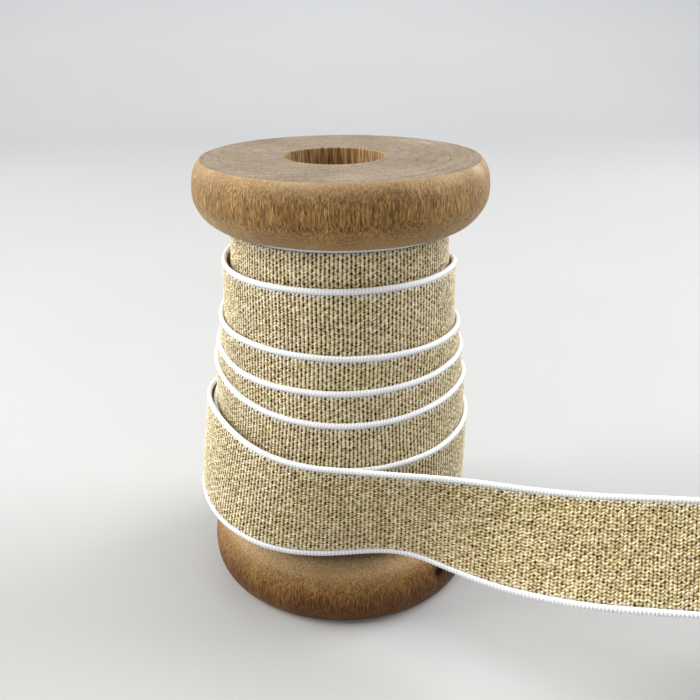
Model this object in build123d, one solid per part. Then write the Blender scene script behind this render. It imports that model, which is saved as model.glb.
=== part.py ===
from build123d import *
import math
import os

# Turned wooden spool wound with a narrow woven elastic ribbon.
# Millimetres, +Z up.  Origin: centre of the spindle bore at the bottom face.
# +X is to the right and -Y is towards the viewer; the free end of the ribbon
# leaves the winding at the front (-Y) and runs to +X.

# ---- spool ----
SPOOL_HEIGHT = 78.3          # between the two end faces
FLANGE_RADIUS = 25.4         # 2 in flange
FLANGE_THICKNESS = 11.0      # end face to the inner side of the flange
FACE_RADIUS = 23.85          # flat end face, inside the rounded rim
RIM_DEPTH = 5.2              # depth of the widest point below the end face
INNER_FACE_RADIUS = 20.6     # where the rounded rim meets the inner side
FACE_TANGENT = (0.8, 0.6)    # rim direction (radial, axial) at the end face
INNER_TANGENT = (1, 0.08)    # rim direction (radial, axial) at the inner side
BARREL_RADIUS = 15.9         # core under the winding
BARREL_FILLET = 1.2
FILLET_MIDPOINT = 0.293      # arc midpoint's distance from each side, in fillet radii
BORE_RADIUS = 8.45           # spindle bore, right through
BORE_OVERRUN = 10.0          # length of the bore cutter beyond each end face
TURNING_OFFSET = 1.0         # X of the turned axis; the bore is at X = 0

# ---- ribbon ----
RIBBON_WIDTH = 16.0          # between the centres of the two edge cords
BAND_THICKNESS = 0.45        # gold woven band
EDGE_WIDTH = 1.15            # white corded edge
EDGE_THICKNESS = 0.60
EDGE_GAP = 0.03              # between band and corded edge
BAND_INSET = 0.15            # band's outer face inside the surface through the edge lines
EDGE_INSET = BAND_INSET - (EDGE_THICKNESS - BAND_THICKNESS) / 2   # centres cords on band
PACK_OFFSET = 0.57           # axis of the winding, along X

# ---- wound laps, by winding angle in degrees ----
WINDING_START = -2450.0
LAPS_END = -150.0            # the tail's cross sections take over from here
LAP_STEP = 15.0              # between cross sections
SMOOTHING_STEP = 3.5         # between the samples averaged to round the corners
SMOOTHING_COUNT = 8          # samples on each side
SLOPE_REACH = 4              # on each side, for the slope of the lap

# ---- tail: positions along it are cross-section indices ----
SECTION_SPACING = 2.5        # mm between cross sections
WOUND_TAIL_START = 1.0
WOUND_TAIL_STEP = 2.0
WOUND_TAIL_MARGIN = 0.8      # least distance from a regular section to the last one
FREE_TAIL_STEP = 1.5         # approximate, in the free stretches
PEEL_INDEX = 25.6            # line where the ribbon leaves the winding
PEEL_GAP = 1.0               # mm
BEND_MID_INDEX = 39.6
BEND_END_INDEX = 53.6
BEND_GAP = 0.5               # mm

# ---- hidden parts ----
TAPE_THICKNESS = 0.15
TAPE_HEIGHT = 18.0
TAPE_ARC = 44.0              # degrees
TAPE_ANGLE = 118.0           # middle of the tape, degrees from +X
TAPE_Z = 50.0                # middle of the tape
TAPE_CLEAR = 0.02            # between tape and barrel
COIL_CLEAR = 0.05            # between hidden coils and barrel
FILLET_ROOM = 0.1            # around the barrel's fillets
POCKET_DEPTH_ROOM = 0.1      # outside the tape
POCKET_END_ROOM = 0.2        # above and below the tape
POCKET_SIDE_ROOM = 1         # degrees, beyond each end of the tape
POCKET_OVERCUT = 0.5         # how far the pocket cutter reaches into the barrel

# Heights and radii of the wound laps, keyed by winding angle.  Each entry:
# lap index (0 is the outermost), angle from the front in degrees
# (counter-clockwise seen from above), height of the upper cord's centre above
# the base, radius of the lap at its upper cord, radius at its lower cord.
LAP_KEYS = [
    (-7, 60, 66.6, 18.60, 19.20),
    (-6, -90, 66.6, 19.05, 19.55), (-6, 0, 66.6, 19.20, 19.75), (-6, 80, 66.6, 19.35, 19.90),
    (-5, -80, 60.6, 20.75, 21.05), (-5, 0, 60.6, 20.80, 21.10), (-5, 78, 60.6, 20.80, 21.10),
    (-4, -80, 50.6, 21.80, 21.85), (-4, -40, 50.2, 21.85, 21.85), (-4, 0, 49.7, 21.90, 21.85),
    (-4, 50, 49.4, 21.90, 21.85), (-4, 80, 49.2, 21.95, 21.85),
    (-3, -80, 46.5, 22.45, 22.40), (-3, -64, 45.1, 22.50, 22.45), (-3, -40, 44.3, 22.55, 22.50),
    (-3, 0, 43.8, 22.60, 22.50), (-3, 30, 44.1, 22.60, 22.50), (-3, 80, 44.9, 22.65, 22.50),
    (-2, -80, 43.2, 23.10, 23.00), (-2, -62, 41.4, 23.15, 23.05), (-2, -46, 40.1, 23.20, 23.05),
    (-2, -15, 38.5, 23.25, 23.10), (-2, 10, 38.2, 23.25, 23.10), (-2, 30, 38.6, 23.30, 23.10),
    (-2, 55, 39.4, 23.30, 23.10), (-2, 75, 39.7, 23.35, 23.10),
    (-1, -80, 34.0, 23.85, 23.60), (-1, -40, 31.6, 23.90, 23.65), (-1, 0, 30.3, 23.95, 23.65),
    (-1, 30, 30.5, 24.00, 23.70), (-1, 60, 31.0, 24.05, 23.70), (-1, 80, 31.7, 24.05, 23.75),
    (0, -200, 32.0, 24.60, 25.00), (0, -134, 33.0, 24.90, 26.55),
]
KEY_HEIGHT, KEY_UPPER_RADIUS, KEY_LOWER_RADIUS = 2, 3, 4    # columns of LAP_KEYS

# Cross sections of the outermost lap and of the free tail, SECTION_SPACING apart:
# upper cord's centre x, y, z and lower cord's centre x, y, z.
TAIL_SECTIONS = [
    (-17.88, 16.75, 32.98, -20.46, 16.35, 17.09),
    (-19.45, 14.80, 33.31, -21.92, 14.30, 17.34),
    (-20.82, 12.74, 33.62, -23.17, 12.15, 17.58),
    (-21.98, 10.56, 33.91, -24.22, 9.90, 17.80),
    (-22.93, 8.29, 34.18, -25.04, 7.56, 18.00),
    (-23.65, 5.93, 34.43, -25.65, 5.15, 18.18),
    (-24.15, 3.50, 34.65, -26.02, 2.69, 18.33),
    (-24.40, 1.05, 34.84, -26.16, 0.21, 18.45),
    (-24.38, -1.42, 34.97, -26.10, -2.29, 18.53),
    (-24.04, -3.86, 35.05, -25.86, -4.77, 18.57),
    (-23.41, -6.26, 35.04, -25.48, -7.24, 18.55),
    (-22.56, -8.60, 34.95, -24.91, -9.65, 18.46),
    (-21.54, -10.86, 34.77, -24.14, -12.01, 18.29),
    (-20.34, -13.01, 34.49, -23.14, -14.27, 18.04),
    (-18.99, -15.03, 34.14, -21.88, -16.40, 17.70),
    (-17.48, -16.90, 33.74, -20.35, -18.34, 17.30),
    (-15.82, -18.60, 33.31, -18.56, -20.06, 16.87),
    (-14.02, -20.11, 32.87, -16.55, -21.52, 16.42),
    (-12.08, -21.43, 32.46, -14.34, -22.70, 16.00),
    (-10.03, -22.52, 32.09, -11.99, -23.60, 15.63),
    (-7.86, -23.38, 31.77, -9.54, -24.21, 15.33),
    (-5.62, -24.02, 31.51, -7.03, -24.56, 15.10),
    (-3.31, -24.46, 31.31, -4.48, -24.68, 14.94),
    (-0.97, -24.77, 31.16, -1.92, -24.62, 14.84),
    (1.40, -25.02, 31.05, 0.64, -24.44, 14.79),
    (3.78, -25.28, 30.97, 3.21, -24.20, 14.79),
    (6.16, -25.61, 30.90, 5.76, -24.00, 14.80),
    (8.54, -25.92, 30.85, 8.28, -24.02, 14.81),
    (10.92, -26.18, 30.80, 10.76, -24.39, 14.76),
    (13.31, -26.38, 30.75, 13.15, -25.14, 14.66),
    (15.70, -26.56, 30.67, 15.43, -26.24, 14.53),
    (18.10, -26.77, 30.57, 17.60, -27.59, 14.42),
    (20.49, -27.06, 30.45, 19.71, -29.07, 14.38),
    (22.86, -27.45, 30.35, 21.78, -30.61, 14.45),
    (25.20, -27.93, 30.29, 23.84, -32.17, 14.62),
    (27.52, -28.50, 30.30, 25.91, -33.70, 14.90),
    (29.83, -29.16, 30.38, 27.98, -35.21, 15.27),
    (32.11, -29.89, 30.52, 30.08, -36.66, 15.70),
    (34.37, -30.68, 30.72, 32.19, -38.07, 16.18),
    (36.62, -31.52, 30.98, 34.34, -39.41, 16.69),
    (38.87, -32.38, 31.28, 36.51, -40.68, 17.21),
    (41.12, -33.23, 31.63, 38.72, -41.86, 17.75),
    (43.39, -34.06, 32.00, 40.97, -42.96, 18.28),
    (45.68, -34.85, 32.36, 43.25, -43.97, 18.80),
    (48.01, -35.57, 32.69, 45.57, -44.89, 19.29),
    (50.37, -36.21, 32.98, 47.92, -45.72, 19.73),
    (52.78, -36.78, 33.19, 50.29, -46.47, 20.10),
    (55.21, -37.26, 33.29, 52.70, -47.14, 20.39),
    (57.67, -37.66, 33.28, 55.12, -47.72, 20.57),
    (60.14, -37.97, 33.13, 57.57, -48.22, 20.62),
    (62.61, -38.18, 32.86, 60.03, -48.62, 20.55),
    (65.08, -38.29, 32.46, 62.50, -48.92, 20.35),
    (67.52, -38.30, 31.93, 64.96, -49.10, 20.01),
    (69.94, -38.19, 31.28, 67.41, -49.15, 19.54),
    (72.32, -37.96, 30.51, 69.84, -49.07, 18.93),
    (74.63, -37.60, 29.62, 72.21, -48.84, 18.19),
    (76.87, -37.10, 28.62, 74.52, -48.46, 17.31),
    (79.02, -36.47, 27.50, 76.74, -47.94, 16.31),
    (81.07, -35.71, 26.28, 78.87, -47.27, 15.18),
    (83.00, -34.83, 24.95, 80.88, -46.47, 13.94),
    (84.80, -33.83, 23.53, 82.77, -45.55, 12.60),
    (86.48, -32.74, 22.03, 84.53, -44.51, 11.15),
    (88.01, -31.55, 20.45, 86.15, -43.37, 9.62),
    (89.39, -30.27, 18.80, 87.61, -42.13, 8.02),
    (90.61, -28.92, 17.09, 88.92, -40.81, 6.35),
    (91.68, -27.50, 15.33, 90.07, -39.42, 4.62),
    (92.58, -26.02, 13.53, 91.06, -37.97, 2.84),
    (93.32, -24.48, 11.69, 91.88, -36.45, 1.02),
]
TAIL_TOP = [Vector(*row[:3]) for row in TAIL_SECTIONS]
TAIL_LOW = [Vector(*row[3:]) for row in TAIL_SECTIONS]

# Outline of the hidden coils, from the bottom up: radius, height.
COIL_PROFILE = [
    (19.60, 11.45), (20.50, 12.80), (22.35, 14.00), (22.75, 15.00), (22.84, 16.20),
    (22.32, 21.00), (22.26, 25.00), (22.19, 25.80), (21.72, 26.60), (21.63, 29.00),
    (21.13, 31.40), (20.40, 42.60), (19.25, 48.20), (18.46, 49.00), (17.30, 66.60),
]


# ---- edge lines of the ribbon ----
def key_value(angle, column):
    """Value of one LAP_KEYS column at a winding angle, linear between keys."""
    points = [(key[0] * 360.0 + key[1], key[column]) for key in LAP_KEYS]
    if angle <= points[0][0]:
        return points[0][1]
    for (start, value), (end, next_value) in zip(points, points[1:]):
        if angle <= end:
            return value + (next_value - value) * (angle - start) / (end - start)
    return points[-1][1]


def smooth_value(angle, column):
    """Weighted average of the key values around an angle, which rounds the corners."""
    total = 0.0
    total_weight = 0.0
    for i in range(-SMOOTHING_COUNT, SMOOTHING_COUNT + 1):
        weight = 1.0 + math.cos(math.pi * i / (SMOOTHING_COUNT + 1))
        total += weight * key_value(angle + SMOOTHING_STEP * i, column)
        total_weight += weight
    return total / total_weight


def lap_section(angle):
    """Centres of the upper and lower cords of the wound ribbon at a winding angle."""
    z = smooth_value(angle, KEY_HEIGHT)
    upper_radius = smooth_value(angle, KEY_UPPER_RADIUS)
    lower_radius = smooth_value(angle, KEY_LOWER_RADIUS)
    rise = (smooth_value(angle + SLOPE_REACH, KEY_HEIGHT)
            - smooth_value(angle - SLOPE_REACH, KEY_HEIGHT))
    tilt = math.atan(rise / math.radians(2 * SLOPE_REACH) / upper_radius)

    # The ribbon stays square to its own direction, so the lower cord is turned on.
    upper_turn = math.radians(angle - 90.0)
    lower_turn = upper_turn + RIBBON_WIDTH * math.sin(tilt) / lower_radius
    drop = math.sqrt((RIBBON_WIDTH * math.cos(tilt)) ** 2 - (lower_radius - upper_radius) ** 2)

    def on_lap(radius, turn, height):
        return Vector(PACK_OFFSET + radius * math.cos(turn), radius * math.sin(turn), height)

    return on_lap(upper_radius, upper_turn, z), on_lap(lower_radius, lower_turn, z - drop)


def sample(points, index):
    """Catmull-Rom point at a fractional index, 1 or more."""
    i = min(len(points) - 2, math.floor(index))
    t = index - i
    before, start, end = points[i - 1:i + 2]
    after = points[i + 2] if i + 2 < len(points) else end * 2 - start
    return (start * 2 + (end - before) * t
            + (before * 2 - start * 5 + end * 4 - after) * t ** 2
            + (start * 3 - before - end * 3 + after) * t ** 3) * 0.5


def tail_section(index):
    return sample(TAIL_TOP, index), sample(TAIL_LOW, index)


def wound_sections(tail_end):
    """Sections of the wound part, from its hidden start to an index of the tail."""
    sections = []
    angle = WINDING_START
    while angle < LAPS_END:
        sections.append(lap_section(angle))
        angle += LAP_STEP
    index = WOUND_TAIL_START
    while index < tail_end - WOUND_TAIL_MARGIN:
        sections.append(tail_section(index))
        index += WOUND_TAIL_STEP
    sections.append(tail_section(tail_end))
    return sections


def free_sections(start, end):
    """Evenly spaced sections of the tail between two indices."""
    count = round((end - start) / FREE_TAIL_STEP)
    return [tail_section(start + (end - start) * i / count) for i in range(count + 1)]


# ---- ribbon solids ----
def over_the_cords(sections):
    """Move both edge lines half a cord outwards, from the cords' centres to their rims."""
    outer = []
    for top, low in sections:
        reach = (low - top).normalized() * (EDGE_WIDTH / 2)
        outer.append((top - reach, low + reach))
    return outer


def strip(sections, start, end, inset, thickness):
    """Solid strip between two distances below the upper edge line.

    A negative start, and an end of zero or less, count from the lower edge line.
    The outer face lies inset inside the surface through the edge lines.
    """
    wires = []
    for i, (top, low) in enumerate(sections):
        last_top, last_low = sections[max(i - 1, 0)]
        next_top, next_low = sections[min(i + 1, len(sections) - 1)]
        along = (next_top - last_top + next_low - last_low).normalized()
        width = (low - top).length
        down = (low - top).normalized()
        outwards = along.cross(down * -1).normalized()
        upper = top + down * (start if start >= 0 else width + start)
        lower = top + down * (end if end > 0 else width + end)
        outer = outwards * inset
        inner = outwards * (inset + thickness)
        corners = [upper - outer, lower - outer, lower - inner, upper - inner]
        wires.append(Wire.make_polygon(corners, close=True))
    return Solid.make_loft(wires, False)


def ribbon(name, sections):
    """Band, upper edge and lower edge of one stretch of ribbon, keyed by part name."""
    sections = over_the_cords(sections)
    margin = EDGE_WIDTH + EDGE_GAP
    return {
        name + "_band": strip(sections, margin, -margin, BAND_INSET, BAND_THICKNESS),
        name + "_upper_edge": strip(sections, 0.0, EDGE_WIDTH, EDGE_INSET, EDGE_THICKNESS),
        name + "_lower_edge": strip(sections, -EDGE_WIDTH, 0.0, EDGE_INSET, EDGE_THICKNESS),
    }


def ribbon_stretches():
    """The wound part and three stretches of free tail, with gaps between them."""
    half_peel = PEEL_GAP / 2 / SECTION_SPACING
    half_bend = BEND_GAP / 2 / SECTION_SPACING
    tail_end = len(TAIL_SECTIONS) - 1.0
    parts = ribbon("wound", wound_sections(PEEL_INDEX - half_peel))
    for name, start, end in (
        ("tail_root", PEEL_INDEX + half_peel, BEND_MID_INDEX - half_bend),
        ("tail_mid", BEND_MID_INDEX + half_bend, BEND_END_INDEX - half_bend),
        ("tail_end", BEND_END_INDEX + half_bend, tail_end),
    ):
        parts.update(ribbon(name, free_sections(start, end)))
    return parts


# ---- spool and hidden parts ----
def upright_cylinder(radius, z0, z1, x):
    cylinder = Cylinder(radius, z1 - z0, align=(Align.CENTER, Align.CENTER, Align.MIN))
    return cylinder.moved(Location((x, 0, z0)))


def spool_body():
    """One-piece turned spool: two rounded flanges, barrel and through bore."""
    top = SPOOL_HEIGHT
    low_side = FLANGE_THICKNESS              # inner sides of the two flanges
    high_side = top - FLANGE_THICKNESS
    fillet_radius = BARREL_RADIUS + BARREL_FILLET
    near = FILLET_MIDPOINT * BARREL_FILLET
    face_r, face_z = FACE_TANGENT
    inner_r, inner_z = INNER_TANGENT
    with BuildPart() as part:
        with BuildSketch(Plane.XZ):
            with BuildLine():
                Line((0, 0), (FACE_RADIUS, 0))
                Spline((FACE_RADIUS, 0), (FLANGE_RADIUS, RIM_DEPTH),
                       tangents=((face_r, face_z), (0, 1)))
                Spline((FLANGE_RADIUS, RIM_DEPTH), (INNER_FACE_RADIUS, low_side),
                       tangents=((0, 1), (-inner_r, inner_z)))
                Line((INNER_FACE_RADIUS, low_side), (fillet_radius, low_side))
                ThreePointArc((fillet_radius, low_side),
                              (BARREL_RADIUS + near, low_side + near),
                              (BARREL_RADIUS, low_side + BARREL_FILLET))
                Line((BARREL_RADIUS, low_side + BARREL_FILLET),
                     (BARREL_RADIUS, high_side - BARREL_FILLET))
                ThreePointArc((BARREL_RADIUS, high_side - BARREL_FILLET),
                              (BARREL_RADIUS + near, high_side - near),
                              (fillet_radius, high_side))
                Line((fillet_radius, high_side), (INNER_FACE_RADIUS, high_side))
                Spline((INNER_FACE_RADIUS, high_side), (FLANGE_RADIUS, top - RIM_DEPTH),
                       tangents=((inner_r, inner_z), (0, 1)))
                Spline((FLANGE_RADIUS, top - RIM_DEPTH), (FACE_RADIUS, top),
                       tangents=((0, 1), (-face_r, face_z)))
                Line((FACE_RADIUS, top), (0, top))
                Line((0, top), (0, 0))
            make_face()
        revolve(axis=Axis.Z)
    turned = part.part.moved(Location((TURNING_OFFSET, 0, 0)))
    return turned - upright_cylinder(BORE_RADIUS, -BORE_OVERRUN, top + BORE_OVERRUN, 0)


def tape_arc(inner_radius, outer_radius, end_room=0, side_room=0):
    """Part of a thin tube about the turned axis, at the tape's place.

    It is larger than the tape by end_room above and below, and by side_room
    degrees at each side.
    """
    half_height = TAPE_HEIGHT / 2 + end_room
    half_arc = TAPE_ARC / 2 + side_room

    def at(radius, turn):
        angle = math.radians(TAPE_ANGLE + turn)
        return (radius * math.cos(angle), radius * math.sin(angle))

    outer = [at(outer_radius, turn) for turn in (-half_arc, 0, half_arc)]
    inner = [at(inner_radius, turn) for turn in (half_arc, 0, -half_arc)]
    with BuildPart() as part:
        with BuildSketch(Plane.XY.offset(TAPE_Z - half_height)):
            with BuildLine():
                ThreePointArc(*outer)
                Line(outer[-1], inner[0])
                ThreePointArc(*inner)
                Line(inner[-1], outer[0])
            make_face()
        extrude(amount=2 * half_height)
    return part.part.moved(Location((TURNING_OFFSET, 0, 0)))


def anchor_tape():
    """Strip of tape that holds the ribbon's inner end on the barrel."""
    inner_radius = BARREL_RADIUS + TAPE_CLEAR
    return tape_arc(inner_radius, inner_radius + TAPE_THICKNESS)


def inner_winding():
    """Hidden coils between the barrel and the visible laps, with room for the tape."""
    bottom = (0, COIL_PROFILE[0][1])
    top = (0, COIL_PROFILE[-1][1])
    with BuildPart() as part:
        with BuildSketch(Plane.XZ):
            with BuildLine():
                Polyline([bottom] + COIL_PROFILE + [top, bottom])
            make_face()
        revolve(axis=Axis.Z)
    coils = part.part.moved(Location((PACK_OFFSET, 0, 0)))
    core_radius = BARREL_RADIUS + COIL_CLEAR
    coils = coils - upright_cylinder(core_radius, 0, SPOOL_HEIGHT, TURNING_OFFSET)

    # Room for the barrel's fillet at both flanges.
    z0 = FLANGE_THICKNESS - FILLET_ROOM
    z1 = FLANGE_THICKNESS + BARREL_FILLET + FILLET_ROOM
    ring_radius = BARREL_RADIUS + BARREL_FILLET + FILLET_ROOM
    for low, high in ((z0, z1), (SPOOL_HEIGHT - z1, SPOOL_HEIGHT - z0)):
        coils = coils - upright_cylinder(ring_radius, low, high, TURNING_OFFSET)

    pocket = tape_arc(BARREL_RADIUS - POCKET_OVERCUT,
                      core_radius + TAPE_THICKNESS + POCKET_DEPTH_ROOM,
                      end_room=POCKET_END_ROOM, side_room=POCKET_SIDE_ROOM)
    return coils - pocket


parts = {
    "spool_body": spool_body(),
    "anchor_tape": anchor_tape(),
    "inner_winding": inner_winding(),
    **ribbon_stretches(),
}

os.makedirs("parts", exist_ok=True)
for name, shape in parts.items():
    export_step(shape, "parts/" + name + ".step")
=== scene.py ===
# A turned wooden spool wound with gold woven ribbon edged in white cord, its tail running free.
# The spool stands upright on z = 0 with its bore on the z axis.  -Y is the front and +X the
# right; the tail leaves the left side, crosses the front and runs out to the right.
# Lengths are millimetres, turned into metres when a mesh is made; lights and camera are in metres.
import math

import bpy
import numpy as np
from mathutils import Matrix, Vector


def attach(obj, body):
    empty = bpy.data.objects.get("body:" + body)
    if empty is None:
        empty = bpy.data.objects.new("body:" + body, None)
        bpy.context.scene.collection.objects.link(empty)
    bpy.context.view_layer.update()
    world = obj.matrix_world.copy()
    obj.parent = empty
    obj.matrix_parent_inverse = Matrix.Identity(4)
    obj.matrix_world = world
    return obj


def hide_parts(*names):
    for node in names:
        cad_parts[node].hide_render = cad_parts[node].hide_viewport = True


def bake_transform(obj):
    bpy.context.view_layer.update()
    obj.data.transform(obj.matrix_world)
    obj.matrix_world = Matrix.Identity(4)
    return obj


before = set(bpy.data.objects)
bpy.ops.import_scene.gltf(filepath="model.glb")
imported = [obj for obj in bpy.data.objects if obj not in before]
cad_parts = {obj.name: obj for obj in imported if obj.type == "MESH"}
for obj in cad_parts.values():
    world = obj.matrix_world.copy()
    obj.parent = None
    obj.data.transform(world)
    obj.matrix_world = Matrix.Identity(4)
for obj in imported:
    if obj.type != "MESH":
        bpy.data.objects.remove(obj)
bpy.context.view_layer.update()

MM = 0.001

# Spool body: two flanges on a barrel
SPOOL_H = 78.3
FLANGE_R, FACE_R, INNER_R = 25.4, 23.85, 20.6   # widest, at the face's arris, at the underside
RIM_DEPTH, FLANGE_T = 5.2, 11.0                 # from the face to the widest place, to the underside
BARREL_R, FILLET = 15.9, 1.2
BORE_R, MOUTH_R = 8.45, 0.28                    # the bore and the rounding of its mouth
TURN_X = 1.0                                    # the turned surfaces' axis, off the bore's

# Ribbon
PACK_X = 0.57             # axis of the wound laps
RIBBON_W = 16.0           # between the centres of the two cords
BAND_T = 0.45
CORD_W = 1.15             # width taken up by one cord
CORD_OVERLAP = 0.10       # the band reaches this far under a cord
ROWS = 30                 # half rows across the band, two to each bead of a column
COLUMN_STEPS, ROW_STEPS = 4, 3   # samples per column and per half row

# Tail stations (places in TAIL_SECTIONS) of the three hinges
PEEL, BEND_MID, BEND_END = 25.6, 39.6, 53.6

# Wound laps, degrees counted anticlockwise from the front:
# (lap, degrees, upper cord's height, upper cord's radius, lower cord's radius)
LAP_KEYS = [
    (-7, 60, 66.6, 18.60, 19.20),
    (-6, -90, 66.6, 19.05, 19.55), (-6, 0, 66.6, 19.20, 19.75), (-6, 80, 66.6, 19.35, 19.90),
    (-5, -80, 60.6, 20.75, 21.05), (-5, 0, 60.6, 20.80, 21.10), (-5, 78, 60.6, 20.80, 21.10),
    (-4, -80, 50.6, 21.80, 21.85), (-4, -40, 50.2, 21.85, 21.85), (-4, 0, 49.7, 21.90, 21.85),
    (-4, 50, 49.4, 21.90, 21.85), (-4, 80, 49.2, 21.95, 21.85),
    (-3, -80, 46.5, 22.45, 22.40), (-3, -64, 45.1, 22.50, 22.45), (-3, -40, 44.3, 22.55, 22.50),
    (-3, 0, 43.8, 22.60, 22.50), (-3, 30, 44.1, 22.60, 22.50), (-3, 80, 44.9, 22.65, 22.50),
    (-2, -80, 43.2, 23.10, 23.00), (-2, -62, 41.4, 23.15, 23.05), (-2, -46, 40.1, 23.20, 23.05),
    (-2, -15, 38.5, 23.25, 23.10), (-2, 10, 38.2, 23.25, 23.10), (-2, 30, 38.6, 23.30, 23.10),
    (-2, 55, 39.4, 23.30, 23.10), (-2, 75, 39.7, 23.35, 23.10),
    (-1, -80, 34.0, 23.85, 23.60), (-1, -40, 31.6, 23.90, 23.65), (-1, 0, 30.3, 23.95, 23.65),
    (-1, 30, 30.5, 24.00, 23.70), (-1, 60, 31.0, 24.05, 23.70), (-1, 80, 31.7, 24.05, 23.75),
    (0, -200, 32.0, 24.60, 25.00), (0, -134, 33.0, 24.90, 26.55),
]

# Tail stations: upper cord's centre x, y, z, then lower cord's centre x, y, z
TAIL_SECTIONS = np.array([
    (-17.88, 16.75, 32.98, -20.46, 16.35, 17.09), (-19.45, 14.80, 33.31, -21.92, 14.30, 17.34),
    (-20.82, 12.74, 33.62, -23.17, 12.15, 17.58), (-21.98, 10.56, 33.91, -24.22, 9.90, 17.80),
    (-22.93, 8.29, 34.18, -25.04, 7.56, 18.00), (-23.65, 5.93, 34.43, -25.65, 5.15, 18.18),
    (-24.15, 3.50, 34.65, -26.02, 2.69, 18.33), (-24.40, 1.05, 34.84, -26.16, 0.21, 18.45),
    (-24.38, -1.42, 34.97, -26.10, -2.29, 18.53), (-24.04, -3.86, 35.05, -25.86, -4.77, 18.57),
    (-23.41, -6.26, 35.04, -25.48, -7.24, 18.55), (-22.56, -8.60, 34.95, -24.91, -9.65, 18.46),
    (-21.54, -10.86, 34.77, -24.14, -12.01, 18.29), (-20.34, -13.01, 34.49, -23.14, -14.27, 18.04),
    (-18.99, -15.03, 34.14, -21.88, -16.40, 17.70), (-17.48, -16.90, 33.74, -20.35, -18.34, 17.30),
    (-15.82, -18.60, 33.31, -18.56, -20.06, 16.87), (-14.02, -20.11, 32.87, -16.55, -21.52, 16.42),
    (-12.08, -21.43, 32.46, -14.34, -22.70, 16.00), (-10.03, -22.52, 32.09, -11.99, -23.60, 15.63),
    (-7.86, -23.38, 31.77, -9.54, -24.21, 15.33), (-5.62, -24.02, 31.51, -7.03, -24.56, 15.10),
    (-3.31, -24.46, 31.31, -4.48, -24.68, 14.94), (-0.97, -24.77, 31.16, -1.92, -24.62, 14.84),
    (1.40, -25.02, 31.05, 0.64, -24.44, 14.79), (3.78, -25.28, 30.97, 3.21, -24.20, 14.79),
    (6.16, -25.61, 30.90, 5.76, -24.00, 14.80), (8.54, -25.92, 30.85, 8.28, -24.02, 14.81),
    (10.92, -26.18, 30.80, 10.76, -24.39, 14.76), (13.31, -26.38, 30.75, 13.15, -25.14, 14.66),
    (15.70, -26.56, 30.67, 15.43, -26.24, 14.53), (18.10, -26.77, 30.57, 17.60, -27.59, 14.42),
    (20.49, -27.06, 30.45, 19.71, -29.07, 14.38), (22.86, -27.45, 30.35, 21.78, -30.61, 14.45),
    (25.20, -27.93, 30.29, 23.84, -32.17, 14.62), (27.52, -28.50, 30.30, 25.91, -33.70, 14.90),
    (29.83, -29.16, 30.38, 27.98, -35.21, 15.27), (32.11, -29.89, 30.52, 30.08, -36.66, 15.70),
    (34.37, -30.68, 30.72, 32.19, -38.07, 16.18), (36.62, -31.52, 30.98, 34.34, -39.41, 16.69),
    (38.87, -32.38, 31.28, 36.51, -40.68, 17.21), (41.12, -33.23, 31.63, 38.72, -41.86, 17.75),
    (43.39, -34.06, 32.00, 40.97, -42.96, 18.28), (45.68, -34.85, 32.36, 43.25, -43.97, 18.80),
    (48.01, -35.57, 32.69, 45.57, -44.89, 19.29), (50.37, -36.21, 32.98, 47.92, -45.72, 19.73),
    (52.78, -36.78, 33.19, 50.29, -46.47, 20.10), (55.21, -37.26, 33.29, 52.70, -47.14, 20.39),
    (57.67, -37.66, 33.28, 55.12, -47.72, 20.57), (60.14, -37.97, 33.13, 57.57, -48.22, 20.62),
    (62.61, -38.18, 32.86, 60.03, -48.62, 20.55), (65.08, -38.29, 32.46, 62.50, -48.92, 20.35),
    (67.52, -38.30, 31.93, 64.96, -49.10, 20.01), (69.94, -38.19, 31.28, 67.41, -49.15, 19.54),
    (72.32, -37.96, 30.51, 69.84, -49.07, 18.93), (74.63, -37.60, 29.62, 72.21, -48.84, 18.19),
    (76.87, -37.10, 28.62, 74.52, -48.46, 17.31), (79.02, -36.47, 27.50, 76.74, -47.94, 16.31),
    (81.07, -35.71, 26.28, 78.87, -47.27, 15.18), (83.00, -34.83, 24.95, 80.88, -46.47, 13.94),
    (84.80, -33.83, 23.53, 82.77, -45.55, 12.60), (86.48, -32.74, 22.03, 84.53, -44.51, 11.15),
    (88.01, -31.55, 20.45, 86.15, -43.37, 9.62), (89.39, -30.27, 18.80, 87.61, -42.13, 8.02),
    (90.61, -28.92, 17.09, 88.92, -40.81, 6.35), (91.68, -27.50, 15.33, 90.07, -39.42, 4.62),
    (92.58, -26.02, 13.53, 91.06, -37.97, 2.84), (93.32, -24.48, 11.69, 91.88, -36.45, 1.02),
])


# ---------------------------------------------------------------------------
# Helpers
# ---------------------------------------------------------------------------
def smooth_noise(points, scale, seed):
    """Smooth value noise at an array of points with two or three columns, about -1..1."""
    table = np.random.default_rng(seed).uniform(-1, 1, 4096)
    scaled = points / scale
    base = np.floor(scaled).astype(np.int64)
    part = scaled - base
    part = part * part * (3 - 2 * part)
    dims = scaled.shape[1]
    primes = np.array([73856093, 19349663, 83492791])[:dims]
    total = np.zeros(len(scaled))
    for corner in range(2 ** dims):
        bits = np.array([(corner >> axis) & 1 for axis in range(dims)])
        entry = ((base + bits) * primes).sum(1) & 4095
        weight = np.prod(np.where(bits, part, 1 - part), axis=1)
        total += weight * table[entry]
    return total


def hash01(first, second, seed):
    """Repeatable random number 0..1 for integer pairs."""
    first, second = np.asarray(first, float), np.asarray(second, float)
    value = np.sin(first * 127.1 + second * 311.7 + seed * 74.7) * 43758.5453
    return value - np.floor(value)


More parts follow.
